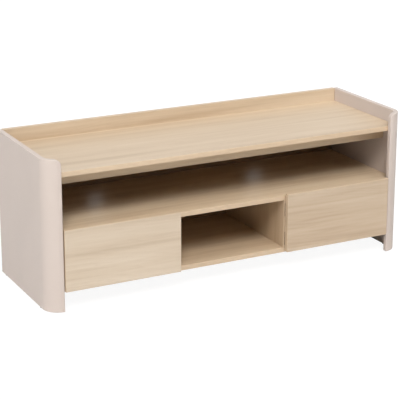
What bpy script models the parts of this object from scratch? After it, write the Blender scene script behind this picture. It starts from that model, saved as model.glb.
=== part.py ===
"""TV stand with doors: a wide low stand with curled side panels, an open media compartment, an open centre
niche and a push-to-open cupboard on each side of it. Metres, +Z up, the front faces -Y."""

import math

import bmesh
import bpy
from mathutils import Matrix, Vector

# Outside size.
WIDTH = 1.200
HEIGHT = 0.455
DEPTH = 0.3952  # door front to back edge
DOOR_PROUD = 0.0026  # how far the doors stand in front of the side panels

# Boards.
BOARD = 0.015
BACK_BOARD = 0.005
FIT = 0.0003  # gap between touching pieces
OVER = 0.01  # how far a cutter reaches past what it cuts
EASE = 0.0007  # radius of the banded edges

# Side panels: each curls inwards at the front.
CURL_R = 0.050
CURL_END_R = 0.018  # rounding of the curl's upper inner corner
CURL_END_CLEAR = 0.004  # how far that rounding's cutter stays from the curl's start
REAR_TOP_R = 0.007
GLIDE_HEIGHT = 0.002
GLIDE_R = 0.0065

# Heights of the horizontal boards, undersides first.
BOTTOM_Z = (0.0574, 0.0724)
SHELF_Z = (0.2248, 0.2398)
TOP_Z = (0.3980, 0.4130)
RAIL_DROP = 0.0430
RAIL_SETBACK = 0.072

# Doors and niche.
NICHE_HALF = 0.178
DOOR_X = (0.1812, 0.5474)
DOOR_Z = (0.0616, 0.2474)
DOOR_THICK = 0.015

# Butt hinges that sit in the gap between a door and its divider.
KNUCKLE_R = 0.00115
KNUCKLE_BORE_R = 0.00055
PIN_R = 0.0005
PIN_HEAD_R = 0.0009
LEAF = 0.0008
LEAF_HEIGHT = 0.040
KNUCKLE = 0.014  # height of each of the frame leaf's two knuckles; the door leaf's fills the middle
PIN_HEAD = 0.0006
FRAME_LEAF_WIDTH = 0.0112
DOOR_LEAF_WIDTH = 0.022
HINGE_Z = (0.1025, 0.1945)

# Push latch at the free end of each door.
LATCH_X = 0.500
LATCH_SIZE = (0.013, 0.058, 0.012)
LATCH_SETBACK = 0.003  # housing behind the shelf's front edge
LATCH_EASE = 0.0015
FLANGE_HALF_WIDTH = 0.012
FLANGE_Y = (0.014, 0.046)  # from the housing's front
FLANGE_THICK = 0.002
PLUNGER_PLAY = 0.00005
PLUNGER_R = 0.003
PLUNGER_LENGTH = 0.030
PLUNGER_TRAVEL_SPARE = 0.002  # room behind the plunger
STRIKE_R = 0.0055
STRIKE = 0.001

# Cable holes in the back of the media compartment.
CABLE_HOLE_X = 0.285
CABLE_HOLE_R = 0.030
CABLE_HOLE_RISE = 0.078  # centre above the shelf

BUMPER_R = 0.004
BUMPER_X = 0.532
BUMPER_Z = (0.0670, 0.2323)
BRACKET = 0.025
BRACKET_WIDTH = 0.020
BRACKET_THICK = 0.002
BRACKET_FRONT = 0.155  # behind the side panels' fronts
BRACKET_REAR = 0.060  # in front of the rear edge
GLIDE_FRONT = 0.070
GLIDE_REAR = 0.030

# Planes that follow from the sizes.
DOOR_FRONT = -DEPTH / 2
PANEL_FRONT = DOOR_FRONT + DOOR_PROUD
REAR = DEPTH / 2
DOOR_BACK = DOOR_FRONT + DOOR_THICK
CARCASS_FRONT = PANEL_FRONT + BOARD + FIT
INNER = WIDTH / 2 - BOARD
REACH = INNER - FIT
DIVIDER_X = (NICHE_HALF, NICHE_HALF + BOARD)
BACK_FACE = REAR - BACK_BOARD
HINGE_Y = (DOOR_BACK + CARCASS_FRONT) / 2

WOOD = (0.70, 0.52, 0.36)
GREIGE = (0.73, 0.69, 0.64)
HARDBOARD = (0.62, 0.47, 0.33)
STEEL = (0.62, 0.62, 0.63)
GREY_PLASTIC = (0.55, 0.55, 0.54)


def clear_scene():
    for obj in list(bpy.data.objects):
        bpy.data.objects.remove(obj, do_unlink=True)


def finish(obj, colour, roughness, metallic=0.0):
    """Gives the object its own Principled material."""
    material = bpy.data.materials.new(obj.name)
    material.use_nodes = True
    shader = material.node_tree.nodes["Principled BSDF"]
    shader.inputs["Base Color"].default_value = (*colour, 1.0)
    shader.inputs["Roughness"].default_value = roughness
    shader.inputs["Metallic"].default_value = metallic
    obj.data.materials.clear()
    obj.data.materials.append(material)
    return obj


def place(axis, a, b, along):
    """A point of an outline drawn across the axis: (y, z) across X, (x, z) across Y, (x, y) across Z."""
    return {"X": (along, a, b), "Y": (a, along, b), "Z": (a, b, along)}[axis]


def prism(name, outline, axis, low, high):
    """A closed outline extruded along the axis from low to high."""
    mesh = bmesh.new()
    ends = [[mesh.verts.new(place(axis, a, b, along)) for a, b in outline] for along in (low, high)]
    mesh.faces.new(ends[0])
    mesh.faces.new(ends[1])
    count = len(outline)
    for i in range(count):
        j = (i + 1) % count
        mesh.faces.new((ends[0][i], ends[0][j], ends[1][j], ends[1][i]))
    bmesh.ops.recalc_face_normals(mesh, faces=mesh.faces)
    data = bpy.data.meshes.new(name)
    mesh.to_mesh(data)
    mesh.free()
    obj = bpy.data.objects.new(name, data)
    bpy.context.scene.collection.objects.link(obj)
    return obj


def box(name, x, y, z):
    return prism(name, [(x[0], y[0]), (x[1], y[0]), (x[1], y[1]), (x[0], y[1])], "Z", *z)


def arc(centre, radius, start, end, steps):
    """Points of an arc in degrees, both ends included."""
    points = []
    for i in range(steps + 1):
        angle = math.radians(start + (end - start) * i / steps)
        points.append((centre[0] + radius * math.cos(angle), centre[1] + radius * math.sin(angle)))
    return points


def disc(name, axis, centre, radius, low, high, sides=32):
    return prism(name, arc(centre, radius, 0, 360, sides)[:-1], axis, low, high)


def mirrored(outline, side):
    return [(a * side, b) for a, b in outline]


def boolean(obj, other, operation):
    """Cuts the other shape from the object, or joins it on, and keeps it as a hidden guide."""
    modifier = obj.modifiers.new(operation.title(), "BOOLEAN")
    modifier.operation = operation
    modifier.solver = "EXACT"
    modifier.object = other
    other.hide_render = True
    other.display_type = "WIRE"
    return obj


def ease(obj, width=EASE, segments=2):
    """Rounds the sharp edges slightly, as edge banding is."""
    modifier = obj.modifiers.new("Ease", "BEVEL")
    modifier.width = width
    modifier.segments = segments
    modifier.limit_method = "ANGLE"
    modifier.angle_limit = math.radians(40)
    modifier.use_clamp_overlap = True
    return obj


def smooth(obj, angle=35):
    obj.data.shade_smooth()
    obj.data.set_sharp_from_angle(angle=math.radians(angle))
    return obj


def origin_at(obj, point):
    """Moves the origin to the point and leaves the shape where it is."""
    obj.data.transform(Matrix.Translation(-Vector(point)))
    obj.location = point
    return obj


def side_panel(name, side):
    """An upright board whose front edge curls inwards in a quarter round."""
    centre = (WIDTH / 2 - CURL_R, PANEL_FRONT + CURL_R)
    outline = [(WIDTH / 2, REAR)]
    outline += arc(centre, CURL_R, 0, -90, 18)
    outline += arc(centre, CURL_R - BOARD, -90, 0, 18)
    outline += [(INNER, REAR)]
    panel = smooth(prism(name, mirrored(outline, side), "Z", GLIDE_HEIGHT + FIT, HEIGHT))

    end_x = WIDTH / 2 - CURL_R
    corner = arc((end_x + CURL_END_R, HEIGHT - CURL_END_R), CURL_END_R, 180, 90, 14)
    waste = [(end_x - OVER, HEIGHT - CURL_END_R)] + corner
    waste += [(end_x + CURL_END_R, HEIGHT + OVER), (end_x - OVER, HEIGHT + OVER)]
    cut_y = (PANEL_FRONT - OVER, PANEL_FRONT + CURL_R - CURL_END_CLEAR)
    front_waste = prism(name + "_curl_cut", mirrored(waste, side), "Y", *cut_y)
    boolean(panel, front_waste, "DIFFERENCE")

    corner = arc((REAR - REAR_TOP_R, HEIGHT - REAR_TOP_R), REAR_TOP_R, 90, 0, 6)
    waste = corner + [(REAR + OVER, HEIGHT - REAR_TOP_R), (REAR + OVER, HEIGHT + OVER)]
    waste += [(REAR - REAR_TOP_R, HEIGHT + OVER)]
    across = sorted((side * (INNER - OVER), side * (WIDTH / 2 + OVER)))
    rear_waste = prism(name + "_rear_cut", waste, "X", *across)
    boolean(panel, rear_waste, "DIFFERENCE")
    return finish(panel, GREIGE, 0.42)


def shelf_board(name, z, rear=REAR):
    """A board whose front corners follow the inside of the side panels' curls."""
    inner_r = CURL_R - BOARD - FIT
    centre = (REACH - inner_r, CARCASS_FRONT + inner_r)
    right = [(REACH, rear)] + arc(centre, inner_r, 0, -90, 12)
    left = [(-x, y) for x, y in reversed(right)]
    return finish(smooth(ease(prism(name, right + left, "Z", *z))), WOOD, 0.5)


def board(name, x, y, z, colour=WOOD, roughness=0.5):
    return finish(smooth(ease(box(name, x, y, z))), colour, roughness)


def upper_back():
    panel = box(
        "upper_back_panel", (-REACH, REACH), (BACK_FACE, REAR), (SHELF_Z[1] + FIT, TOP_Z[0] - FIT)
    )
    for side, word in ((-1, "left"), (1, "right")):
        centre = (side * CABLE_HOLE_X, SHELF_Z[1] + CABLE_HOLE_RISE)
        hole = disc(f"{word}_cable_cut", "Y", centre, CABLE_HOLE_R, BACK_FACE - OVER, REAR + OVER, 40)
        boolean(panel, hole, "DIFFERENCE")
    return finish(smooth(panel), HARDBOARD, 0.6)


def door(word, side):
    x = sorted((side * DOOR_X[0], side * DOOR_X[1]))
    leaf = board(f"{word}_door", x, (DOOR_FRONT, DOOR_BACK), DOOR_Z)
    return origin_at(leaf, (side * DOOR_X[0], HINGE_Y, 0))


def leaf_plate(name, side, y, width, z_low, own):
    """The flat plate of a hinge leaf, cut back where the other leaf's knuckles are."""
    z_high = z_low + LEAF_HEIGHT
    axis_x = DOOR_X[0]
    clear_x = axis_x + KNUCKLE_R + FIT
    far_x = axis_x + width
    outline = [(far_x, z_low), (far_x, z_high)]
    if own == "ends":
        outline += [(axis_x, z_high), (axis_x, z_high - KNUCKLE), (clear_x, z_high - KNUCKLE)]
        outline += [(clear_x, z_low + KNUCKLE), (axis_x, z_low + KNUCKLE), (axis_x, z_low)]
    else:
        gap = KNUCKLE + FIT
        outline += [(clear_x, z_high), (clear_x, z_high - gap), (axis_x, z_high - gap)]
        outline += [(axis_x, z_low + gap), (clear_x, z_low + gap), (clear_x, z_low)]
    return prism(name, mirrored(outline, side), "Y", *y)


def hinge(word, side, place_word, z):
    """A butt hinge: two leaves with interleaved knuckles on one pin."""
    low = z - LEAF_HEIGHT / 2
    high = z + LEAF_HEIGHT / 2
    axis = (side * DOOR_X[0], HINGE_Y)
    name = f"{word}_{place_word}_hinge"

    frame_y = (HINGE_Y + KNUCKLE_R - LEAF, HINGE_Y + KNUCKLE_R)
    frame = leaf_plate(name + "_frame_leaf", side, frame_y, FRAME_LEAF_WIDTH, low, "ends")
    for tag, span in (("low", (low, low + KNUCKLE)), ("high", (high - KNUCKLE, high))):
        knuckle = disc(f"{name}_frame_knuckle_{tag}", "Z", axis, KNUCKLE_R, *span, 28)
        boolean(frame, knuckle, "UNION")
    frame_bore = disc(name + "_frame_bore", "Z", axis, KNUCKLE_BORE_R, low - OVER, high + OVER, 24)
    boolean(frame, frame_bore, "DIFFERENCE")
    finish(smooth(frame), STEEL, 0.35, 1.0)

    door_y = (HINGE_Y - KNUCKLE_R, HINGE_Y - KNUCKLE_R + LEAF)
    moving = leaf_plate(name + "_door_leaf", side, door_y, DOOR_LEAF_WIDTH, low, "middle")
    knuckle_z = (low + KNUCKLE + FIT, high - KNUCKLE - FIT)
    knuckle = disc(name + "_door_knuckle", "Z", axis, KNUCKLE_R, *knuckle_z, 28)
    boolean(moving, knuckle, "UNION")
    door_bore = disc(name + "_door_bore", "Z", axis, KNUCKLE_BORE_R, low - OVER, high + OVER, 24)
    boolean(moving, door_bore, "DIFFERENCE")
    finish(smooth(moving), STEEL, 0.35, 1.0)
    origin_at(moving, (*axis, 0))
    for cutter in (knuckle, door_bore):
        origin_at(cutter, (*axis, 0))

    foot, head = low - FIT, high + FIT
    pin = disc(name + "_pin", "Z", axis, PIN_R, foot, head, 24)
    for tag, span in (("foot", (foot - PIN_HEAD, foot)), ("head", (head, head + PIN_HEAD))):
        cap = disc(f"{name}_pin_{tag}", "Z", axis, PIN_HEAD_R, *span, 24)
        boolean(pin, cap, "UNION")
    finish(smooth(pin), STEEL, 0.3, 1.0)
    origin_at(pin, (*axis, 0))


def push_latch(word, side):
    """A housing under the shelf, a plunger that pushes the door out, and the door's steel strike."""
    width, length, height = LATCH_SIZE
    centre_x = side * LATCH_X
    top = SHELF_Z[0] - FIT
    axis_z = top - height / 2
    front = CARCASS_FRONT + LATCH_SETBACK
    x = (centre_x - width / 2, centre_x + width / 2)
    housing = box(f"{word}_latch_housing", x, (front, front + length), (top - height, top))
    ease(housing, LATCH_EASE, 3)
    flange_x = (centre_x - FLANGE_HALF_WIDTH, centre_x + FLANGE_HALF_WIDTH)
    flange_y = (front + FLANGE_Y[0], front + FLANGE_Y[1])
    flange = box(f"{word}_latch_flange", flange_x, flange_y, (top - FLANGE_THICK, top))
    plunger_front = DOOR_BACK + FIT + STRIKE + FIT
    bore_y = (front - OVER, plunger_front + PLUNGER_LENGTH + PLUNGER_TRAVEL_SPARE)
    bore = disc(f"{word}_latch_bore", "Y", (centre_x, axis_z), PLUNGER_R + PLUNGER_PLAY, *bore_y, 32)
    boolean(housing, flange, "UNION")
    boolean(housing, bore, "DIFFERENCE")
    finish(smooth(housing), GREY_PLASTIC, 0.45)

    plunger = disc(
        f"{word}_latch_plunger", "Y", (centre_x, axis_z), PLUNGER_R, plunger_front,
        plunger_front + PLUNGER_LENGTH, 32,
    )
    finish(smooth(plunger), (0.83, 0.83, 0.82), 0.4)
    origin_at(plunger, (centre_x, plunger_front, axis_z))

    strike = disc(
        f"{word}_strike_plate", "Y", (centre_x, axis_z), STRIKE_R, DOOR_BACK + FIT, DOOR_BACK + FIT + STRIKE
    )
    finish(smooth(strike), STEEL, 0.35, 1.0)
    origin_at(strike, (side * DOOR_X[0], HINGE_Y, 0))


def bumpers(word, side):
    for level, z in zip(("lower", "upper"), BUMPER_Z):
        pad = disc(
            f"{word}_{level}_bumper", "Y", (side * BUMPER_X, z), BUMPER_R, DOOR_BACK + FIT,
            CARCASS_FRONT - FIT, 24,
        )
        finish(smooth(pad), (0.82, 0.82, 0.80), 0.35)


def glides(word, side):
    for end, y in (("front", PANEL_FRONT + GLIDE_FRONT), ("rear", REAR - GLIDE_REAR)):
        centre = (side * (WIDTH / 2 - BOARD / 2), y)
        pad = disc(f"{word}_{end}_glide", "Z", centre, GLIDE_R, 0, GLIDE_HEIGHT, 32)
        finish(smooth(pad), (0.16, 0.15, 0.15), 0.6)


def bracket(name, side, under, y):
    """A steel angle between a side panel and the board above it."""
    x0 = REACH
    top = under - FIT
    outline = [(x0, top), (x0 - BRACKET, top), (x0 - BRACKET, top - BRACKET_THICK)]
    outline += [(x0 - BRACKET_THICK, top - BRACKET_THICK), (x0 - BRACKET_THICK, top - BRACKET)]
    outline += [(x0, top - BRACKET)]
    angle = prism(name, mirrored(outline, side), "Y", y - BRACKET_WIDTH / 2, y + BRACKET_WIDTH / 2)
    finish(smooth(angle), STEEL, 0.35, 1.0)


def main():
    clear_scene()

    shelf_board("top_board", TOP_Z, rear=REAR - BOARD - FIT)
    shelf_board("middle_shelf", SHELF_Z)
    shelf_board("bottom_panel", BOTTOM_Z)
    board("back_upstand", (-REACH, REACH), (REAR - BOARD, REAR), (TOP_Z[0], HEIGHT))
    rail_front = CARCASS_FRONT + RAIL_SETBACK
    rail_z = (TOP_Z[0] - RAIL_DROP, TOP_Z[0] - FIT)
    board("front_rail", (-REACH, REACH), (rail_front, rail_front + BOARD), rail_z)
    upper_back()
    lower_z = (BOTTOM_Z[1] + FIT, SHELF_Z[0] - FIT)
    finish(box("lower_back_panel", (-REACH, REACH), (BACK_FACE, REAR), lower_z), HARDBOARD, 0.6)

    for word, side in (("left", -1), ("right", 1)):
        side_panel(f"{word}_side_panel", side)
        divider_x = sorted((side * DIVIDER_X[0], side * DIVIDER_X[1]))
        board(f"{word}_divider", divider_x, (CARCASS_FRONT, BACK_FACE - FIT), lower_z)
        door(word, side)
        for place_word, z in zip(("lower", "upper"), HINGE_Z):
            hinge(word, side, place_word, z)
        push_latch(word, side)
        bumpers(word, side)
        glides(word, side)
        for end, y in (("front", PANEL_FRONT + BRACKET_FRONT), ("rear", REAR - BRACKET_REAR)):
            bracket(f"{word}_{end}_top_bracket", side, TOP_Z[0], y)
            bracket(f"{word}_{end}_shelf_bracket", side, SHELF_Z[0], y)


main()
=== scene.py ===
"""TV stand with doors: detailed boards, curled side panels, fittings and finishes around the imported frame."""

import math
import random
from collections import namedtuple

import bmesh
import bpy
from bpy.props import FloatProperty, FloatVectorProperty, IntProperty, PointerProperty
from mathutils import Matrix, Vector


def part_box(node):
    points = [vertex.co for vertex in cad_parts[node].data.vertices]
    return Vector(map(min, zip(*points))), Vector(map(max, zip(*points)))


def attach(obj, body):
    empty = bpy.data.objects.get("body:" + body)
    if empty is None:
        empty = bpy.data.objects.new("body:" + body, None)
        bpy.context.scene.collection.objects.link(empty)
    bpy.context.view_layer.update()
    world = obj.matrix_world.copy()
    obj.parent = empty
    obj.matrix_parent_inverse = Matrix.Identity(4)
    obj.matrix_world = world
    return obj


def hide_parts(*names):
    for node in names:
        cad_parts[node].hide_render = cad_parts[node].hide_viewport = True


bl_info = {
    "name": "TV stand with doors",
    "version": (1, 0, 0),
    "blender": (4, 5, 0),
    "location": "3D View > Sidebar > TV stand",
    "description": "Builds the boards, side panels, fittings and studio of a TV stand around its frame",
    "category": "Object",
}

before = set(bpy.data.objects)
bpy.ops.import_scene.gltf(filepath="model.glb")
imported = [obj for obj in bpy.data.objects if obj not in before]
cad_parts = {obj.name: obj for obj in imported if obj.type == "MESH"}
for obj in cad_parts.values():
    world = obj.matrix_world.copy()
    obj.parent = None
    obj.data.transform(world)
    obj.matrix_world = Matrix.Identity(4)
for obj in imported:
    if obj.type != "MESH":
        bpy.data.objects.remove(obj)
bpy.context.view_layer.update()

SIDES = (("left", -1), ("right", 1))
QUARTER = math.pi / 2

# Facets of the rounded shapes before smoothing.
BOARD_CORNER_STEPS = 16
PANEL_REAR_STEPS = 8
PANEL_STRAIGHT_STEPS = 12
PANEL_EDGE_STEPS = 4

# Hinge screws: heads in the space between the closed leaves.
HINGE_SCREW_RADIUS = 0.000682
HINGE_LEAF_THICKNESS = 0.0008
FRAME_SCREW_REACH = 0.0072  # from the pin
DOOR_SCREW_REACH = 0.0130

# Latch screws: one in each ear of the housing's flange.
LATCH_SCREW_RADIUS = 0.0020
LATCH_SCREW_REACH = 0.0093  # from the housing's middle
LATCH_SCREW_SETBACK = 0.030  # from the housing's front
LATCH_FLANGE_THICKNESS = 0.002

# Bracket screws: two in each leg.
BRACKET_THICKNESS = 0.002
BRACKET_SCREW_REACH = 0.0155  # from the bracket's corner
BRACKET_SCREW_OFFSET = 0.0052  # from the bracket's middle

FLOOR_RADIUS = 19.0
FLOOR_THICKNESS = 0.0005
BACKDROP_RADIUS = 20.0
CAMERA_PLACE = (-1.91313, -3.67229, 1.53741)
CAMERA_DIP = 16.05226  # degrees below level
CAMERA_TURN = -27.30313
CAMERA_SHIFT = -0.1125

# Socket numbers of a colour mix.
MIX_FACTOR, MIX_FIRST, MIX_SECOND, MIX_RESULT = 0, 6, 7, 2


def span(node):
    """A CAD node's lowest and highest corners."""
    low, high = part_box(node)
    return low.copy(), high.copy()


PANEL_LOW, PANEL_HIGH = span("right_side_panel")


# ---------------------------------------------------------------- settings


def colour_property(name, description, default):
    return FloatVectorProperty(
        name=name, description=description, default=default, min=0, max=1, size=3, subtype="COLOR"
    )


class StandColours(bpy.types.PropertyGroup):
    """Colours of the stand's finishes."""

    oak_light: colour_property("Light oak", "The palest streaks of the wood", (0.605, 0.490, 0.362))
    oak_mid: colour_property("Mid oak", "The usual tone of the wood", (0.545, 0.425, 0.300))
    oak_dark: colour_property("Dark oak", "The darkest streaks of the wood", (0.435, 0.318, 0.210))
    paint: colour_property("Side panel paint", "The paint on the side panels", (0.585, 0.503, 0.456))
    # The back panels' colour is partly the print's own dark brown and partly painted shade, darker still so
    # that the deep compartments and the niche look dim.
    back: colour_property("Back panels", "The print on the thin back panels", (0.335, 0.205, 0.107))
    floor: colour_property("Floor", "The studio floor", (0.78, 0.78, 0.78))


class StandSizes(bpy.types.PropertyGroup):
    """Sizes of the details that the frame leaves plain."""

    edge_radius: FloatProperty(
        name="Edge radius", description="Rounding of the banded board edges", default=0.0010,
        unit="LENGTH",
    )
    paint_edge_radius: FloatProperty(
        name="Painted edge radius", description="Rounding of the side panels' rims", default=0.0014,
        unit="LENGTH",
    )
    curl_radius: FloatProperty(
        name="Curl radius", description="Outer radius of a side panel's curl", default=0.050,
        unit="LENGTH",
    )
    curl_end_radius: FloatProperty(
        name="Curl end radius", description="Rounding of a curl's upper inner corner", default=0.018,
        unit="LENGTH",
    )
    rear_top_radius: FloatProperty(
        name="Rear top radius", description="Rounding of a side panel's rear top corner", default=0.007,
        unit="LENGTH",
    )
    board: FloatProperty(
        name="Board thickness", description="Thickness of the boards", default=0.015, unit="LENGTH"
    )
    fit: FloatProperty(
        name="Fit", description="Gap between the boards and the side panels", default=0.0003,
        unit="LENGTH",
    )
    growth_line: FloatProperty(
        name="Growth line spacing", description="Distance between the wood's growth lines", default=0.0085,
        unit="LENGTH",
    )
    screw_radius: FloatProperty(
        name="Screw head radius", description="Radius of a bracket screw's head", default=0.0034,
        unit="LENGTH",
    )
    curl_steps: IntProperty(
        name="Curl steps", description="Number of facets round a curl before smoothing", default=40, min=8
    )


class StudioSettings(bpy.types.PropertyGroup):
    """The stage round the stand."""

    key_sun: FloatProperty(
        name="Key light", description="Strength of the light from the upper front left", default=2.02, min=0
    )
    top_sun: FloatProperty(
        name="Top light", description="Strength of the light from above", default=1.42, min=0
    )
    right_sun: FloatProperty(
        name="Right light", description="Strength of the light from the upper front right", default=0.55, min=0
    )
    left_sun: FloatProperty(
        name="Left light", description="Strength of the light from the left", default=0.95, min=0
    )
    ambient: FloatProperty(name="Ambient", description="Strength of the even light", default=0.0, min=0)
    lens: FloatProperty(
        name="Lens", description="Focal length of the camera", default=126.1, min=1, unit="CAMERA"
    )


def colours():
    return bpy.context.scene.tv_stand_colours


def sizes():
    return bpy.context.scene.tv_stand_sizes


def studio():
    return bpy.context.scene.tv_stand_studio


# ---------------------------------------------------------------- materials


class Net:
    """Adds nodes to a node tree and links them."""

    def __init__(self, tree):
        self.tree = tree

    def add(self, kind, inputs=None, **settings):
        made = self.tree.nodes.new(kind)
        for key, value in settings.items():
            setattr(made, key, value)
        for key, value in (inputs or {}).items():
            if isinstance(value, bpy.types.NodeSocket):
                self.tree.links.new(value, made.inputs[key])
            else:
                made.inputs[key].default_value = value
        return made

    def place(self, shift=None, turn=(0.0, 0.0, 0.0)):
        """The object's own coordinates, shifted and turned where a shift is given."""
        place = self.add("ShaderNodeTexCoord").outputs["Object"]
        if shift is None:
            return place
        settings = {"Vector": place, "Location": shift, "Rotation": turn}
        return self.add("ShaderNodeMapping", settings).outputs[0]

    def math(self, operation, first, second=0.0, clamp=False):
        made = self.add("ShaderNodeMath", {0: first, 1: second}, operation=operation, use_clamp=clamp)
        return made.outputs[0]

    def weighted(self, *terms):
        """The sum of (value, weight) terms."""
        total = None
        for value, weight in terms:
            share = self.math("MULTIPLY", value, weight)
            total = share if total is None else self.math("ADD", total, share)
        return total

    def noise(self, vector, scale, detail=2.0, roughness=0.5, distortion=0.0):
        """Noise over coordinates stretched by the three scales, from 0 to 1."""
        stretch = self.add("ShaderNodeVectorMath", {0: vector, 1: scale}, operation="MULTIPLY")
        settings = {
            "Vector": stretch.outputs[0],
            "Scale": 1.0,
            "Detail": detail,
            "Roughness": roughness,
            "Distortion": distortion,
        }
        return self.add("ShaderNodeTexNoise", settings).outputs["Fac"]

    def ramp(self, value, stops):
        """A ramp through (position, grey or colour) stops."""
        made = self.add("ShaderNodeValToRGB", {"Fac": value})
        elements = made.color_ramp.elements
        while len(elements) < len(stops):
            elements.new(0.5)
        for element, (position, shade) in zip(elements, stops):
            element.position = position
            element.color = (*shade, 1) if hasattr(shade, "__len__") else (shade, shade, shade, 1)
        return made.outputs["Color"]

    def mix(self, factor, first, second, blend="MIX"):
        made = self.add("ShaderNodeMix", data_type="RGBA", blend_type=blend)
        for index, value in ((MIX_FACTOR, factor), (MIX_FIRST, first), (MIX_SECOND, second)):
            if isinstance(value, bpy.types.NodeSocket):
                self.tree.links.new(value, made.inputs[index])
            elif index == MIX_FACTOR:
                made.inputs[index].default_value = value
            else:
                made.inputs[index].default_value = (*value, 1)
        return made.outputs[MIX_RESULT]

    def bump(self, height, strength, distance):
        inputs = {"Height": height, "Strength": strength, "Distance": distance}
        return self.add("ShaderNodeBump", inputs).outputs["Normal"]


def new_material(name):
    """A fresh Principled material: (material, net, shader)."""
    material = bpy.data.materials.new(name)
    material.use_nodes = True
    net = Net(material.node_tree)
    return material, net, material.node_tree.nodes["Principled BSDF"]


def scaled(colour, share):
    """The colour made darker or paler, at most 1 in each channel."""
    return [min(1.0, channel * share) for channel in colour]


def connect(net, shader, **inputs):
    """Links or sets the shader's inputs; underscores stand for spaces."""
    for key, value in inputs.items():
        socket = shader.inputs[key.replace("_", " ")]
        if isinstance(value, bpy.types.NodeSocket):
            net.tree.links.new(value, socket)
        elif socket.type == "RGBA":
            socket.default_value = (*value, 1)
        else:
            socket.default_value = value


def oak_figure():
    """The shared wood figure: streaks, bands, growth lines, fibres and pores along the X axis."""
    name = "oak_figure"
    if name in bpy.data.node_groups:
        return bpy.data.node_groups[name]
    group = bpy.data.node_groups.new(name, "ShaderNodeTree")
    group.interface.new_socket("Vector", in_out="INPUT", socket_type="NodeSocketVector")
    for output in ("Tone", "Pores", "Height"):
        group.interface.new_socket(output, in_out="OUTPUT", socket_type="NodeSocketFloat")
    net = Net(group)
    vector = net.add("NodeGroupInput").outputs["Vector"]

    # Growth lines are shells round a slightly tilted trunk axis, so that flat faces show long arches.
    apart = net.add("ShaderNodeSeparateXYZ", {"Vector": vector})
    warp = net.noise(vector, (1.7, 6.5, 6.5), 2.0, 0.45)
    fine_warp = net.noise(vector, (7.0, 40.0, 40.0), 2.0, 0.5)
    across = net.math("ADD", apart.outputs["Y"], net.math("MULTIPLY", apart.outputs["X"], 0.055))
    square = net.math("MULTIPLY", across, across)
    depth = net.math("ADD", apart.outputs["Z"], net.math("MULTIPLY", apart.outputs["X"], 0.02))
    radius = net.math("SQRT", net.math("ADD", square, net.math("MULTIPLY", depth, depth)))
    radius = net.math("ADD", radius, net.math("MULTIPLY", net.math("SUBTRACT", warp, 0.5), 0.085))
    radius = net.math("ADD", radius, net.math("MULTIPLY", net.math("SUBTRACT", fine_warp, 0.5), 0.005))
    turn = net.math("FRACT", net.math("DIVIDE", radius, sizes().growth_line))
    lines = net.ramp(turn, ((0.0, 0.10), (0.35, 0.30), (0.72, 0.62), (0.90, 1.0), (1.0, 0.12)))
    strength = net.ramp(net.noise(vector, (2.2, 9.0, 9.0), 2.0), ((0.32, 0.12), (0.68, 1.0)))
    lines = net.math("MULTIPLY", lines, strength)

    streaks = net.noise(vector, (1.3, 17.0, 17.0), 3.0, 0.60, 0.25)
    streaks = net.ramp(streaks, ((0.34, 0.0), (0.66, 1.0)))
    bands = net.ramp(net.noise(vector, (1.6, 85.0, 85.0), 3.0, 0.6), ((0.30, 0.0), (0.72, 1.0)))
    fibres = net.noise(vector, (12.0, 420.0, 420.0), 3.0, 0.6)

    # Pores gather in the growth lines as short dark dashes.
    pores = net.ramp(net.noise(vector, (38.0, 1150.0, 1150.0), 1.0), ((0.60, 0.0), (0.72, 1.0)))
    gather = net.math("ADD", net.math("MULTIPLY", lines, 0.8), 0.25)
    pores = net.math("MULTIPLY", pores, gather, clamp=True)

    tone = net.weighted((streaks, 0.56), (bands, 0.26), (lines, 0.17), (fibres, 0.16))
    height = net.math("SUBTRACT", net.math("MULTIPLY", fibres, 0.5), pores)
    net.add("NodeGroupOutput", {"Tone": tone, "Pores": pores, "Height": height})
    return group


def oak(name, shift, turn, tint, satin, depth, edge_lift=None):
    """Pale oak-effect foil. The grain runs along X before the turn, and depth is the strength of the figure.
    The tint is painted light: it makes this board's faces a lit or shaded copy of the same foil.

    Edge banding has an edge_lift, which is how much paler it is. It is a little smoother than a face.
    """
    material, net, shader = new_material(name)
    palette = colours()
    place = net.place(shift, turn)
    figure = net.add("ShaderNodeGroup", node_tree=oak_figure())
    net.tree.links.new(place, figure.inputs["Vector"])
    banding = edge_lift is not None
    lift = edge_lift if banding else 1.0

    # Scales a colour by the tint, which is painted light: a lit or shaded copy of the same oak, pores included.
    # Banding takes no tint.
    def with_painted_light(colour, extra=1.0):
        return [min(1.0, channel * share * extra) for channel, share in zip(colour, tint)]

    def toward(colour):
        """The colour, brought nearer to the usual tone where the figure is weak."""
        return [middle + (channel - middle) * depth for channel, middle in zip(colour, palette.oak_mid)]

    stops = (
        (0.10, with_painted_light(toward(palette.oak_light), lift)),
        (0.52, with_painted_light(palette.oak_mid, lift)),
        (0.98, with_painted_light(toward(palette.oak_dark), lift)),
    )
    colour = net.ramp(figure.outputs["Tone"], stops)
    warm = net.noise(place, (0.8, 3.5, 3.5), 2.0)
    colour = net.mix(net.math("MULTIPLY", warm, 0.25), colour, (0.92, 0.76, 0.60), "MULTIPLY")
    pore_dark = net.math("MULTIPLY", figure.outputs["Pores"], 0.16 if banding else 0.28)
    colour = net.mix(pore_dark, colour, with_painted_light((0.34, 0.22, 0.13)))
    sheen = net.math("MULTIPLY", figure.outputs["Tone"], 0.08)
    roughness = net.math("ADD", sheen, satin - 0.02 if banding else satin)
    roughness = net.math("ADD", roughness, net.math("MULTIPLY", figure.outputs["Pores"], 0.12))
    normal = net.bump(figure.outputs["Height"], 0.25 if banding else 0.45, 0.00018)
    connect(net, shader, Base_Color=colour, Roughness=roughness, Normal=normal, Specular_IOR_Level=0.5)
    return material


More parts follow.
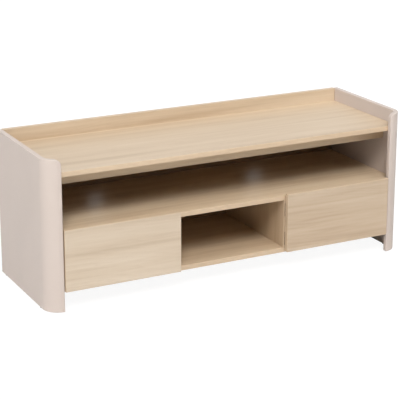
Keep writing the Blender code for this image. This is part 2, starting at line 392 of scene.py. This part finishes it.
def greige_paint(name, shift, edge=False):
    """Satin sprayed paint with a faint ripple. A rim is a little smoother and paler."""
    material, net, shader = new_material(name)
    place = net.place(shift)
    paint = colours().paint
    cloud = net.noise(place, (5.0, 5.0, 3.0), 3.0)
    speckle = net.noise(place, (900.0, 900.0, 900.0), 1.0)
    dark = scaled(paint, 0.985 if edge else 0.955)
    light = scaled(paint, 1.05 if edge else 1.02)
    colour = net.ramp(cloud, ((0.30, dark), (0.70, light)))
    colour = net.mix(net.math("MULTIPLY", speckle, 0.05), colour, scaled(paint, 0.86))
    ripple = net.noise(place, (240.0, 240.0, 240.0), 2.0)
    fine = net.noise(place, (1500.0, 1500.0, 1500.0), 1.0)
    height = net.math("ADD", ripple, net.math("MULTIPLY", fine, 0.25))
    rough = net.math("ADD", net.math("MULTIPLY", cloud, 0.10), 0.33 if edge else 0.40)
    normal = net.bump(height, 0.20, 0.00025)
    connect(net, shader, Base_Color=colour, Roughness=rough, Normal=normal, Specular_IOR_Level=0.45)
    return material


def hardboard(name, shift):
    """Thin printed hardboard with a faint mat of fibres. Its base colour is partly the print's own dark brown
    and partly painted shade for the dim interior.
    """
    material, net, shader = new_material(name)
    place = net.place(shift)
    base = colours().back
    mat = net.noise(place, (160.0, 900.0, 160.0), 4.0, 0.65, 0.6)
    figure = net.noise(place, (3.0, 60.0, 60.0), 3.0, 0.6)
    colour = net.ramp(figure, ((0.28, scaled(base, 0.80)), (0.55, base), (0.78, scaled(base, 1.16))))
    colour = net.mix(net.math("MULTIPLY", mat, 0.22), colour, scaled(base, 0.6))
    normal = net.bump(mat, 0.35, 0.0002)
    rough = net.math("ADD", net.math("MULTIPLY", mat, 0.2), 0.55)
    connect(net, shader, Base_Color=colour, Roughness=rough, Normal=normal, Specular_IOR_Level=0.35)
    return material


def zinc_steel(name, scales=(60.0, 60.0, 900.0), tint=(0.66, 0.66, 0.68)):
    """Plated steel with dull patches and fine brushing, which lies across the axis with the largest scale."""
    material, net, shader = new_material(name)
    place = net.place()
    brush = net.noise(place, scales, 3.0, 0.6)
    patch = net.noise(place, (220.0, 220.0, 220.0), 3.0)
    colour = net.ramp(patch, ((0.30, scaled(tint, 0.80)), (0.72, scaled(tint, 1.12))))
    rough = net.math("ADD", net.weighted((brush, 0.22), (patch, 0.16)), 0.14)
    normal = net.bump(brush, 0.25, 0.00006)
    connect(net, shader, Base_Color=colour, Roughness=rough, Normal=normal, Metallic=1.0)
    return material


def moulded_plastic(name, base, roughness=0.42):
    """Moulded plastic with a spark-eroded texture."""
    material, net, shader = new_material(name)
    place = net.place()
    grain = net.noise(place, (2600.0, 2600.0, 2600.0), 2.0)
    flow = net.noise(place, (90.0, 40.0, 90.0), 3.0)
    colour = net.ramp(flow, ((0.30, scaled(base, 0.93)), (0.72, scaled(base, 1.05))))
    rough = net.math("ADD", net.math("MULTIPLY", flow, 0.12), roughness - 0.05)
    normal = net.bump(grain, 0.25, 0.00004)
    connect(net, shader, Base_Color=colour, Roughness=rough, Normal=normal)
    return material


def clear_rubber(name):
    """A milky soft bumper."""
    material, net, shader = new_material(name)
    haze = net.noise(net.place(), (500.0, 500.0, 500.0), 2.0)
    colour = net.ramp(haze, ((0.3, (0.74, 0.74, 0.72)), (0.7, (0.86, 0.86, 0.84))))
    rough = net.math("ADD", net.math("MULTIPLY", haze, 0.12), 0.18)
    connect(net, shader, Base_Color=colour, Roughness=rough, Transmission_Weight=0.35, IOR=1.45)
    return material


def felt(name):
    """Dark glide pads with a short nap."""
    material, net, shader = new_material(name)
    nap = net.noise(net.place(), (1800.0, 1800.0, 1800.0), 3.0, 0.7)
    colour = net.ramp(nap, ((0.3, (0.05, 0.047, 0.045)), (0.7, (0.13, 0.12, 0.115))))
    normal = net.bump(nap, 0.6, 0.0002)
    connect(net, shader, Base_Color=colour, Roughness=0.9, Normal=normal)
    return material


# ---------------------------------------------------------------- shapes


def piece(name, mesh, body, materials, replaces=()):
    """Puts a mesh in the scene as a piece that rides on a body and takes its finish from a slot."""
    obj = bpy.data.objects.new(name, mesh)
    bpy.context.scene.collection.objects.link(obj)
    for material in materials:
        obj.data.materials.append(material)
    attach(obj, body)
    if replaces:
        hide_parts(*replaces)
    return obj


def dress(node, material):
    """Gives a CAD node its finish."""
    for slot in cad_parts[node].material_slots:
        slot.material = material


def arc(centre, radius, start, end, steps):
    """Points of an arc in degrees, both ends included."""
    points = []
    for i in range(steps + 1):
        angle = math.radians(start + (end - start) * i / steps)
        points.append((centre[0] + radius * math.cos(angle), centre[1] + radius * math.sin(angle)))
    return points


def smooth_mesh(name, shape):
    """The bmesh as a mesh, smooth all over."""
    for face in shape.faces:
        face.smooth = True
    mesh = bpy.data.meshes.new(name)
    shape.to_mesh(mesh)
    shape.free()
    return mesh


def prism_mesh(name, outline, low, high):
    """A plan outline extruded from low to high."""
    shape = bmesh.new()
    ends = [[shape.verts.new((x, y, z)) for x, y in outline] for z in (low, high)]
    shape.faces.new(ends[0])
    shape.faces.new(ends[1])
    for i in range(len(outline)):
        j = (i + 1) % len(outline)
        shape.faces.new((ends[0][i], ends[0][j], ends[1][j], ends[1][i]))
    bmesh.ops.recalc_face_normals(shape, faces=shape.faces)
    return smooth_mesh(name, shape)


def banded(obj):
    """Rounds a board's edges; the rounding takes the second material."""
    sharp = math.radians(40)
    bevel = obj.modifiers.new("Banded edge", "BEVEL")
    bevel.width = sizes().edge_radius
    bevel.segments = 3
    bevel.limit_method = "ANGLE"
    bevel.angle_limit = sharp
    bevel.material = 1
    bevel.harden_normals = True
    obj.data.set_sharp_from_angle(angle=sharp)


# How each board's foil is cut: the shift of its figure, the turn that lays the grain along the board, the tint
# of its faces,
# their roughness, the strength of the figure, and how much paler the banding is than plain oak. The face tints
# are painted light:
# one foil is made paler or darker board by board for how the light falls on it, with the left door and the
# upstand as lit copies and the right door as a shaded one.
Cut = namedtuple("Cut", "shift turn tint satin depth edge_lift")
FLAT = (0, 0, 0)
UPRIGHT = (-QUARTER, 0, 0)
INWARD = (QUARTER, 0, QUARTER)
CUTS = {
    "top_board": Cut((0.25, 0.035, -0.30), FLAT, (1.06, 1.09, 1.12), 0.36, 0.72, 1.16),
    "middle_shelf": Cut((1.9, -0.07, -0.12), FLAT, (1.14, 1.18, 1.20), 0.33, 0.95, 1.05),
    "bottom_panel": Cut((3.2, 0.03, 0.05), FLAT, (0.97, 0.97, 0.96), 0.36, 1.0, 1.05),
    "back_upstand": Cut((4.1, -0.14, -0.30), UPRIGHT, (1.16, 1.20, 1.24), 0.32, 0.95, 1.05),
    "front_rail": Cut((5.3, -0.20, 0.10), UPRIGHT, (1.13, 1.13, 1.07), 0.32, 0.9, 1.05),
    "left_divider": Cut((0.7, 0.16, 0.32), INWARD, (0.98, 0.96, 0.93), 0.34, 0.9, 1.05),
    "right_divider": Cut((2.6, 0.16, 0.25), INWARD, (0.98, 0.96, 0.93), 0.34, 0.9, 1.05),
    "left_door": Cut((6.2, -0.13, 0.05), UPRIGHT, (1.09, 1.17, 1.29), 0.32, 0.95, 1.05),
    "right_door": Cut((7.55, -0.16, 0.04), UPRIGHT, (0.94, 0.95, 0.98), 0.32, 1.15, 1.05),
}
BANDING_DEPTH = 0.6  # strength of the banding's figure against the face's
UNTINTED = (1.0, 1.0, 1.0)


def oak_pair(node):
    """The face and edge finishes of one board. The faces take the board's painted-light tint; the banding has
    none, the same on every board.
    """
    cut = CUTS[node]
    face = oak(node + "_face", cut.shift, cut.turn, cut.tint, cut.satin, cut.depth)
    banding_depth = cut.depth * BANDING_DEPTH
    edge = oak(node + "_edge", cut.shift, cut.turn, UNTINTED, cut.satin, banding_depth, cut.edge_lift)
    return [face, edge]


def curl_outline(low, high):
    """Plan outline of a full-width board whose front corners follow the inside of the curls."""
    inner = sizes().curl_radius - sizes().board - sizes().fit
    centre = (high.x - inner, low.y + inner)
    right = [(high.x, high.y)] + arc(centre, inner, 0, -90, BOARD_CORNER_STEPS)
    return right + [(-x, y) for x, y in reversed(right)]


def box_outline(low, high):
    """Plan outline of a board with square corners."""
    return [(low.x, low.y), (high.x, low.y), (high.x, high.y), (low.x, high.y)]


def oak_board(node, outline, body="carcass"):
    """One oak-effect board in place of its plain node. Its thin sides take the banding."""
    low, high = span(node)
    mesh = prism_mesh(node + "_oak", outline(low, high), low.z, high.z)
    thin = min(range(3), key=lambda axis: high[axis] - low[axis])
    for face in mesh.polygons:
        face.material_index = 0 if abs(face.normal[thin]) > 0.5 else 1
    banded(piece(node + "_oak", mesh, body, oak_pair(node), [node]))


def drop(distance, radius):
    """How far a rounded corner falls at a distance past the start of its rounding."""
    share = min(max(distance / radius, 0.0), 1.0)
    return radius * (1 - math.sqrt(1 - share**2))


def panel_top(x, y):
    """Height of a side panel's rim: full, but rounded down at the curl's end and at the rear."""
    size = sizes()
    curl_end = PANEL_HIGH.x - size.curl_radius
    at_curl = drop(curl_end + size.curl_end_radius - abs(x), size.curl_end_radius)
    at_rear = drop(y - PANEL_HIGH.y + size.rear_top_radius, size.rear_top_radius)
    return PANEL_HIGH.z - max(at_curl, at_rear)


def panel_path():
    """Stations (x, y, outward normal) along the right side panel's middle, from its rear to its curl's end."""
    size = sizes()
    half = size.board / 2
    rear = PANEL_HIGH.y
    front = PANEL_LOW.y + size.curl_radius
    x = PANEL_HIGH.x - half
    outward = (1.0, 0.0)
    stations = []
    for i in range(PANEL_REAR_STEPS + 1):
        angle = QUARTER * i / PANEL_REAR_STEPS
        stations.append((x, rear - size.rear_top_radius * (1 - math.cos(angle)), outward))
    straight = rear - size.rear_top_radius
    for i in range(1, PANEL_STRAIGHT_STEPS + 1):
        stations.append((x, straight + (front - straight) * i / PANEL_STRAIGHT_STEPS, outward))
    centre = (PANEL_HIGH.x - size.curl_radius, front)
    middle = size.curl_radius - half
    for i in range(1, size.curl_steps + 1):
        angle = -QUARTER * i / size.curl_steps
        normal = (math.cos(angle), math.sin(angle))
        stations.append((centre[0] + middle * normal[0], centre[1] + middle * normal[1], normal))
    return stations


def swept_panel(name, side):
    """A side panel swept along its path, with rounded rims and ends, which take the second material."""
    size = sizes()
    ease = size.paint_edge_radius
    half = size.board / 2
    path = panel_path()
    low = PANEL_LOW.z
    corner = [QUARTER * i / PANEL_EDGE_STEPS for i in range(PANEL_EDGE_STEPS + 1)]
    # Stations nearer to the rear end than this give way to its rounding.
    rear_clear = ease * 1.05

    def along(station, push):
        """The station's point moved along the path towards its far end."""
        x, y, normal = path[station]
        tangent = (normal[1], -normal[0])
        return x + tangent[0] * push, y + tangent[1] * push, normal

    rings = [(*along(0, ease * (1 - math.cos(a))), ease * (1 - math.sin(a))) for a in corner]
    rings += [(*station, 0.0) for station in path[1:-1] if station[1] < PANEL_HIGH.y - rear_clear]
    rings += [(*along(-1, -ease * (1 - math.cos(a))), ease * (1 - math.sin(a))) for a in corner[::-1]]

    shape = bmesh.new()
    loops = []
    for x, y, normal, inset in rings:
        loop = []
        # Round the four corners of the section, from the outer bottom to the inner bottom.
        for across, upright, inward in ((1, -1, False), (1, 1, True), (-1, 1, False), (-1, -1, True)):
            for a in corner:
                angle = QUARTER - a if inward else a
                u = (half - ease + ease * math.sin(angle) - inset) * across
                v = ease - ease * math.cos(angle) + inset
                px, py = x + normal[0] * u, y + normal[1] * u
                pz = low + v if upright < 0 else panel_top(px, py) - v
                loop.append(shape.verts.new((px * side, py, pz)))
        loops.append(loop)
    count = len(loops[0])
    last = len(loops) - 1
    for ring, (first, second) in enumerate(zip(loops, loops[1:])):
        at_end = ring < PANEL_EDGE_STEPS or ring >= last - PANEL_EDGE_STEPS
        for i in range(count):
            j = (i + 1) % count
            face = shape.faces.new((first[i], first[j], second[j], second[i]))
            rounding = i % (PANEL_EDGE_STEPS + 1) != PANEL_EDGE_STEPS
            face.material_index = 1 if rounding or at_end else 0
    for loop in (loops[0], loops[-1]):
        shape.faces.new(loop).material_index = 1
    bmesh.ops.recalc_face_normals(shape, faces=shape.faces)
    mesh = smooth_mesh(name, shape)
    mesh.set_sharp_from_angle(angle=math.radians(50))
    return mesh


# A screw head's rings from the rim inwards, as (reach, rise) shares of its radius. Two follow the cross.
HEAD_PROFILE = ((1.0, 0.0), (1.0, 0.10), (0.94, 0.22), (0.78, 0.34), (0.50, 0.42), (0.34, 0.44))
HEAD_SIDES = 24
CROSS_WITHIN = 0.6
RECESS_REACH = 0.8  # of the innermost ring
RECESS_RISE = 0.16


def screw_head(radius):
    """One pan head with a cross recess, as a mesh that stands on z = 0."""
    shape = bmesh.new()
    rings = []
    for share, rise in HEAD_PROFILE:
        ring = []
        for i in range(HEAD_SIDES):
            angle = 2 * math.pi * i / HEAD_SIDES
            reach = share
            if share < CROSS_WITHIN:
                petal = abs(math.cos(2 * angle))
                reach = share * (0.45 + 0.75 * petal**3)
            x, y = radius * reach * math.cos(angle), radius * reach * math.sin(angle)
            ring.append(shape.verts.new((x, y, radius * rise)))
        rings.append(ring)
    recess = []
    for vert in rings[-1]:
        x, y = vert.co.x * RECESS_REACH, vert.co.y * RECESS_REACH
        recess.append(shape.verts.new((x, y, radius * RECESS_RISE)))
    rings.append(recess)
    for first, second in zip(rings, rings[1:]):
        for i in range(HEAD_SIDES):
            j = (i + 1) % HEAD_SIDES
            shape.faces.new((first[i], first[j], second[j], second[i]))
    shape.faces.new(rings[0])
    shape.faces.new(rings[-1])
    bmesh.ops.recalc_face_normals(shape, faces=shape.faces)
    return smooth_mesh("screw_head", shape)


def screws(name, body, material, radius, places):
    """Screw heads in one piece, each turned at random. Each place is (point, direction out of the head)."""
    head = screw_head(radius)
    shape = bmesh.new()
    turner = random.Random(len(name) * 7 + int(1e4 * radius))
    for point, direction in places:
        turn = Vector(direction).to_track_quat("Z", "Y").to_matrix().to_4x4()
        spin = Matrix.Rotation(turner.uniform(0, math.pi), 4, "Z")
        copy = head.copy()
        copy.transform(Matrix.Translation(Vector(point)) @ turn @ spin)
        shape.from_mesh(copy)
        bpy.data.meshes.remove(copy)
    bpy.data.meshes.remove(head)
    mesh = smooth_mesh(name, shape)
    mesh.set_sharp_from_angle(angle=math.radians(40))
    piece(name, mesh, body, [material])


# ---------------------------------------------------------------- operators


class TV_STAND_OT_boards(bpy.types.Operator):
    """Makes the oak-effect boards of the carcass"""

    bl_idname = "tv_stand.boards"
    bl_label = "Boards"

    def execute(self, context):
        for node in ("top_board", "middle_shelf", "bottom_panel"):
            oak_board(node, curl_outline)
        for node in ("back_upstand", "front_rail", "left_divider", "right_divider"):
            oak_board(node, box_outline)
        return {"FINISHED"}


class TV_STAND_OT_side_panels(bpy.types.Operator):
    """Makes the painted side panels with their curled fronts"""

    bl_idname = "tv_stand.side_panels"
    bl_label = "Side panels"

    def execute(self, context):
        for word, side in SIDES:
            name = f"{word}_side_panel_painted"
            shift = (side * 3.1, 0.4, 0.2)
            finish = [greige_paint(name + "_face", shift), greige_paint(name + "_rim", shift, edge=True)]
            piece(name, swept_panel(name, side), "carcass", finish, [f"{word}_side_panel"])
        return {"FINISHED"}


class TV_STAND_OT_doors(bpy.types.Operator):
    """Makes the two doors"""

    bl_idname = "tv_stand.doors"
    bl_label = "Doors"

    def execute(self, context):
        for word, _ in SIDES:
            oak_board(f"{word}_door", box_outline, body=f"{word}_door_leaf")
        return {"FINISHED"}


class TV_STAND_OT_back_panels(bpy.types.Operator):
    """Finishes the two thin back panels"""

    bl_idname = "tv_stand.back_panels"
    bl_label = "Back panels"

    def execute(self, context):
        dress("upper_back_panel", hardboard("upper_back_print", (0.3, 0.0, 0.9)))
        dress("lower_back_panel", hardboard("lower_back_print", (2.3, 0.0, 0.1)))
        return {"FINISHED"}


class TV_STAND_OT_hinges(bpy.types.Operator):
    """Finishes the hinges and adds their screws"""

    bl_idname = "tv_stand.hinges"
    bl_label = "Hinges"

    def execute(self, context):
        steel = zinc_steel("hinge_steel", tint=(0.34, 0.26, 0.185))
        bright = zinc_steel("hinge_pin_steel", (900.0, 900.0, 60.0), (0.36, 0.28, 0.20))
        for word, side in SIDES:
            for level in ("lower", "upper"):
                hinge = f"{word}_{level}_hinge"
                dress(hinge + "_frame_leaf", steel)
                dress(hinge + "_door_leaf", steel)
                dress(hinge + "_pin", bright)
                self.add_screws(word, side, hinge, steel)
        return {"FINISHED"}

    def add_screws(self, word, side, hinge, steel):
        """Two small screws in each leaf, in the space between the closed leaves."""
        for leaf, body, out, reach in (
            ("_frame_leaf", "carcass", -1, FRAME_SCREW_REACH),
            ("_door_leaf", f"{word}_door_leaf", 1, DOOR_SCREW_REACH),
        ):
            low, high = span(hinge + leaf)
            x = (low.x if side > 0 else high.x) + side * reach
            y = high.y - HINGE_LEAF_THICKNESS if out < 0 else low.y + HINGE_LEAF_THICKNESS
            places = []
            for share in (0.2, 0.8):
                z = low.z + (high.z - low.z) * share
                places.append(((x, y, z), (0, out, 0)))
            screws(hinge + leaf + "_screws", body, steel, HINGE_SCREW_RADIUS, places)


class TV_STAND_OT_latches(bpy.types.Operator):
    """Finishes the push latches and adds their screws"""

    bl_idname = "tv_stand.latches"
    bl_label = "Push latches"

    def execute(self, context):
        housing = moulded_plastic("latch_housing_plastic", (0.52, 0.52, 0.51))
        plunger = moulded_plastic("latch_plunger_plastic", (0.80, 0.80, 0.79), 0.35)
        strike = zinc_steel("strike_steel", (900.0, 60.0, 60.0))
        screw = zinc_steel("latch_screw_steel")
        for word, _ in SIDES:
            dress(f"{word}_latch_housing", housing)
            dress(f"{word}_latch_plunger", plunger)
            dress(f"{word}_strike_plate", strike)
            low, high = span(f"{word}_latch_housing")
            middle_x = (low.x + high.x) / 2
            y = low.y + LATCH_SCREW_SETBACK
            z = high.z - LATCH_FLANGE_THICKNESS
            places = [((middle_x + sign * LATCH_SCREW_REACH, y, z), (0, 0, -1)) for sign in (-1, 1)]
            screws(f"{word}_latch_screws", "carcass", screw, LATCH_SCREW_RADIUS, places)
        return {"FINISHED"}


class TV_STAND_OT_small_fittings(bpy.types.Operator):
    """Finishes the bumpers, the glides and the angle brackets, and adds the bracket screws"""

    bl_idname = "tv_stand.small_fittings"
    bl_label = "Small fittings"

    def execute(self, context):
        soft = clear_rubber("bumper_rubber")
        dark = felt("glide_felt")
        steel = zinc_steel("bracket_steel", (60.0, 900.0, 60.0))
        for word, side in SIDES:
            for level in ("lower", "upper"):
                dress(f"{word}_{level}_bumper", soft)
            for end in ("front", "rear"):
                dress(f"{word}_{end}_glide", dark)
                for place in ("top", "shelf"):
                    node = f"{word}_{end}_{place}_bracket"
                    dress(node, steel)
                    self.add_screws(node, side, steel)
        return {"FINISHED"}

    def add_screws(self, node, side, steel):
        """Two screws up into the board and two sideways into the side panel."""
        low, high = span(node)
        wall = high.x if side > 0 else low.x
        middle_y = (low.y + high.y) / 2
        thick, reach = BRACKET_THICKNESS, BRACKET_SCREW_REACH
        places = []
        for sign in (-1, 1):
            y = middle_y + sign * BRACKET_SCREW_OFFSET
            places.append(((wall - side * reach, y, high.z - thick), (0, 0, -1)))
            places.append(((wall - side * thick, y, high.z - reach), (-side, 0, 0)))
        screws(node + "_screws", "carcass", steel, sizes().screw_radius, places)


def sun_light(name, direction, spread, strength, colour):
    """A soft light without falloff that shines from the direction; its spread is in degrees."""
    light = bpy.data.lights.new(name, "SUN")
    light.energy = strength
    light.angle = math.radians(spread)
    light.color = colour
    obj = bpy.data.objects.new(name, light)
    obj.location = direction
    obj.rotation_euler = Vector(direction).to_track_quat("Z", "Y").to_euler()
    bpy.context.scene.collection.objects.link(obj)


class TV_STAND_OT_studio(bpy.types.Operator):
    """Makes the pale floor, the backdrop, the soft lights and the camera"""

    bl_idname = "tv_stand.studio"
    bl_label = "Studio"

    def execute(self, context):
        self.floor()
        self.backdrop()
        self.lights()
        self.camera(context)
        context.scene.view_settings.view_transform = "Standard"
        return {"FINISHED"}

    def stage_piece(self, name, mesh, material):
        """Puts a mesh on the stage, where it isn't part of the stand."""
        mesh.materials.append(material)
        obj = bpy.data.objects.new(name, mesh)
        bpy.context.scene.collection.objects.link(obj)
        return obj

    def floor_sheet(self, name, level, share, glow):
        """A round sheet; share is how much of the floor's colour it has, and glow is its own light."""
        outline = arc((0, 0), FLOOR_RADIUS, 0, 360, 96)[:-1]
        mesh = prism_mesh(name, outline, level - FLOOR_THICKNESS, level)
        material, net, shader = new_material(name + "_paint")
        place = net.place()
        base = scaled(colours().floor, share)
        cloud = net.noise(place, (0.6, 0.6, 0.6), 3.0)
        grit = net.noise(place, (260.0, 260.0, 260.0), 2.0)
        colour = net.ramp(cloud, ((0.3, scaled(base, 0.985)), (0.7, base)))
        normal = net.bump(grit, 0.05, 0.0003)
        connect(net, shader, Base_Color=colour, Roughness=0.8, Normal=normal, Specular_IOR_Level=0.1)
        connect(net, shader, Emission_Color=(1.0, 1.0, 1.0), Emission_Strength=glow)
        return self.stage_piece(name, mesh, material)

    def floor(self):
        """A pale floor bounces light up. The camera sees only the bright sheet on it, with faint shadows."""
        floor = self.floor_sheet("studio_floor", -0.001, share=1.0, glow=0.0)
        floor.visible_camera = False
        sheet = self.floor_sheet("studio_sheet", 0.0, share=0.15, glow=0.925)
        sheet.visible_diffuse = False
        sheet.visible_glossy = False
        sheet.visible_transmission = False
        sheet.visible_shadow = False

    def backdrop(self):
        """A pale dome seen by the camera and in gloss, which adds no light to matt surfaces."""
        shape = bmesh.new()
        bmesh.ops.create_uvsphere(shape, u_segments=64, v_segments=32, radius=BACKDROP_RADIUS)
        bmesh.ops.reverse_faces(shape, faces=shape.faces)
        mesh = smooth_mesh("studio_backdrop", shape)
        material, net, shader = new_material("studio_backdrop_glow")
        shade = (1.02, 1.02, 1.02)
        connect(net, shader, Base_Color=(0, 0, 0), Emission_Color=shade, Emission_Strength=1.0, Roughness=1.0)
        dome = self.stage_piece("studio_backdrop", mesh, material)
        dome.visible_diffuse = False
        dome.visible_shadow = False
        dome.visible_transmission = False

    def lights(self):
        """Four soft suns, and an even light for those who want one."""
        world = bpy.data.worlds.new("studio_world")
        world.use_nodes = True
        background = world.node_tree.nodes["Background"]
        background.inputs["Color"].default_value = (1.0, 0.995, 0.985, 1)
        background.inputs["Strength"].default_value = studio().ambient
        bpy.context.scene.world = world
        warm = (1.0, 0.985, 0.965)
        sun_light("key_light", (-1.2, -2.6, 3.0), 19, studio().key_sun, warm)
        sun_light("top_light", (0.0, -0.7, 3.2), 50, studio().top_sun, warm)
        sun_light("right_light", (1.2, -2.8, 2.8), 32, studio().right_sun, warm)
        sun_light("left_light", (-4.0, -0.5, 1.4), 36, studio().left_sun, (1, 1, 1))

    def camera(self, context):
        """A long lens from the front left, looking slightly down."""
        data = bpy.data.cameras.new("studio_camera")
        data.sensor_fit = "HORIZONTAL"
        data.sensor_width = 36
        data.lens = studio().lens
        data.shift_y = CAMERA_SHIFT
        data.clip_end = 100
        data.dof.use_dof = False
        obj = bpy.data.objects.new("studio_camera", data)
        obj.location = CAMERA_PLACE
        obj.rotation_euler = (math.radians(90 - CAMERA_DIP), 0, math.radians(CAMERA_TURN))
        context.scene.collection.objects.link(obj)
        context.scene.camera = obj


class TV_STAND_PT_panel(bpy.types.Panel):
    """Lists the stand's settings and its pieces"""

    bl_label = "TV stand"
    bl_idname = "TV_STAND_PT_panel"
    bl_space_type = "VIEW_3D"
    bl_region_type = "UI"
    bl_category = "TV stand"

    def draw(self, context):
        layout = self.layout
        for group in ("tv_stand_colours", "tv_stand_sizes", "tv_stand_studio"):
            settings = getattr(context.scene, group)
            box = layout.box()
            for name in settings.__annotations__:
                box.prop(settings, name)
        for operator in OPERATORS:
            layout.operator(operator.bl_idname)


OPERATORS = (
    TV_STAND_OT_boards,
    TV_STAND_OT_side_panels,
    TV_STAND_OT_doors,
    TV_STAND_OT_back_panels,
    TV_STAND_OT_hinges,
    TV_STAND_OT_latches,
    TV_STAND_OT_small_fittings,
    TV_STAND_OT_studio,
)
GROUPS = (
    ("tv_stand_colours", StandColours),
    ("tv_stand_sizes", StandSizes),
    ("tv_stand_studio", StudioSettings),
)


def register():
    for name, group in GROUPS:
        bpy.utils.register_class(group)
        setattr(bpy.types.Scene, name, PointerProperty(type=group))
    for cls in (*OPERATORS, TV_STAND_PT_panel):
        bpy.utils.register_class(cls)


def unregister():
    for cls in reversed((*OPERATORS, TV_STAND_PT_panel)):
        bpy.utils.unregister_class(cls)
    for name, group in reversed(GROUPS):
        delattr(bpy.types.Scene, name)
        bpy.utils.unregister_class(group)


def main():
    register()
    bpy.ops.tv_stand.boards()
    bpy.ops.tv_stand.side_panels()
    bpy.ops.tv_stand.doors()
    bpy.ops.tv_stand.back_panels()
    bpy.ops.tv_stand.hinges()
    bpy.ops.tv_stand.latches()
    bpy.ops.tv_stand.small_fittings()
    bpy.ops.tv_stand.studio()


if __name__ == "__main__":
    main()
